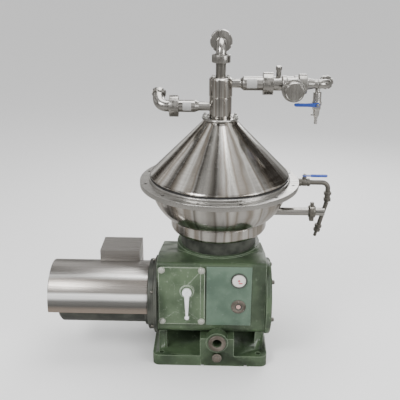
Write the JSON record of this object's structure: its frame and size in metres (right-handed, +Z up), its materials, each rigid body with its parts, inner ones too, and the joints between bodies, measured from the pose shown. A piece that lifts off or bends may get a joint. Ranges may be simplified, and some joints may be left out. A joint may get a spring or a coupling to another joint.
{
  "type": "cream separator",
  "caption": "Disc-bowl cream separator: green cast drive casing with side motor, stainless catcher, conical hood, inlet cylinder and outlet pipework.",
  "frame": {"origin": "on the bowl spindle's axis, at the underside of the foot plate (floor level)", "axes": "+Z up along the spindle axis, -Y towards the front with the gear window and instruments, +X to the skim outlet side, -X to the motor"},
  "size_m": [1.4731, 0.826, 1.678],
  "materials": {
    "green_paint": "hammered green enamel on cast iron, worn on edges",
    "pad_paint": "lighter blue-green enamel",
    "polished_stainless": "polished stainless with fine turned and brushed lines",
    "brushed_stainless": "brushed or turned stainless",
    "machined_steel": "machined steel",
    "dark_cast": "dark painted cast iron",
    "fitting_steel": "dull stainless pipe fittings",
    "bronze": "machined bronze",
    "rubber": "black food-grade rubber",
    "blue_grip": "blue vinyl sleeve on a steel lever",
    "bright_lever": "bright plated steel lever",
    "white_dial": "white dial behind glass in a steel ring",
    "sight_lens": "pinkish oil sight lens in a steel ring"
  },
  "bodies": {
    "frame": {"base_frame": "green_paint", "drive_casing": "green_paint", "gear_window_cover": "green_paint", "end_cover": "green_paint", "instrument_plate": "pad_paint", "speed_window": "white_dial", "sight_glass": "sight_lens", "outlet_port_ring": "machined_steel", "drain_plug": "machined_steel", "motor_adapter": "dark_cast", "motor_body": "dark_cast", "motor_shroud": "brushed_stainless", "terminal_box": "brushed_stainless", "terminal_box_lid": "brushed_stainless", "neck_drum": "dark_cast", "foot_bearing_housing": "dark_cast", "lower_collar": "polished_stainless", "collecting_catcher": "polished_stainless", "catcher_flange": "brushed_stainless", "sludge_pipe": "polished_stainless", "sludge_clamp": "dark_cast", "water_valve_body": "fitting_steel", "water_elbow": "fitting_steel", "water_drain_tube": "fitting_steel", "foot_bearing": "machined_steel", "neck_bearing": "machined_steel", "shaft_bearing": "machined_steel"},
    "drive_line": {"drive_shaft": "machined_steel", "worm_wheel": "bronze", "clutch_drum": "dark_cast", "motor_rotor": "machined_steel"},
    "bowl": {"spindle": "machined_steel", "bowl_body": "polished_stainless", "bowl_hood": "polished_stainless", "bowl_lock_ring": "bronze", "distributor": "polished_stainless", "disc_stack": "machined_steel"},
    "hood": {"hood_gasket": "rubber", "hood_cone": "polished_stainless", "top_collar": "polished_stainless", "inlet_cylinder_lower": "polished_stainless", "inlet_cylinder_upper": "polished_stainless", "feed_pipe": "brushed_stainless", "feed_union_nut": "brushed_stainless", "feed_elbow": "polished_stainless", "feed_rear_nut": "brushed_stainless", "feed_tube": "polished_stainless", "cream_outlet_pipe": "polished_stainless", "cream_union_nut": "brushed_stainless", "cream_elbow": "polished_stainless", "skim_outlet_pipe": "polished_stainless", "skim_union_nut": "brushed_stainless", "valve_body": "brushed_stainless", "valve_union_nut": "brushed_stainless", "tail_elbow": "polished_stainless", "sample_tap_body": "brushed_stainless"},
    "valve_handwheel": {"valve_knob": "brushed_stainless"},
    "sample_handle": {"sample_tap_lever": "blue_grip"},
    "water_handle": {"water_valve_lever": "blue_grip"},
    "brake": {"brake_lever": "bright_lever"}
  },
  "joints": [
    {"name": "bowl_spin", "type": "hinge", "parent": "frame", "child": "bowl", "pos_m": [0, 0, 0.5], "axis": [0, 0, 1], "continuous": true},
    {"name": "drive_shaft_spin", "type": "hinge", "parent": "frame", "child": "drive_line", "pos_m": [0, -0.15, 0.328], "axis": [1, 0, 0], "continuous": true},
    {"name": "hood_lift", "type": "slide", "parent": "frame", "child": "hood", "axis": [0, 0, 1], "range_m": [0, 0.45]},
    {"name": "valve_knob_turn", "type": "hinge", "parent": "hood", "child": "valve_handwheel", "pos_m": [0.352, -0.1, 1.41], "axis": [0, 1, 0], "range_deg": [-300, 0]},
    {"name": "sample_lever_turn", "type": "hinge", "parent": "hood", "child": "sample_handle", "pos_m": [0.48, -0.034, 1.33], "axis": [0, 1, 0], "range_deg": [-90, 0]},
    {"name": "water_lever_turn", "type": "hinge", "parent": "frame", "child": "water_handle", "pos_m": [0.455, 0.09, 0.91], "axis": [0, 0, 1], "range_deg": [-90, 0]},
    {"name": "brake_lever_turn", "type": "hinge", "parent": "frame", "child": "brake", "pos_m": [-0.156, -0.32, 0.432], "axis": [0, 1, 0], "range_deg": [-45, 45]}
  ],
  "couplings": [
    {"joint": "drive_shaft_spin", "follows": "bowl_spin", "ratio": 0.2353}
  ]
}
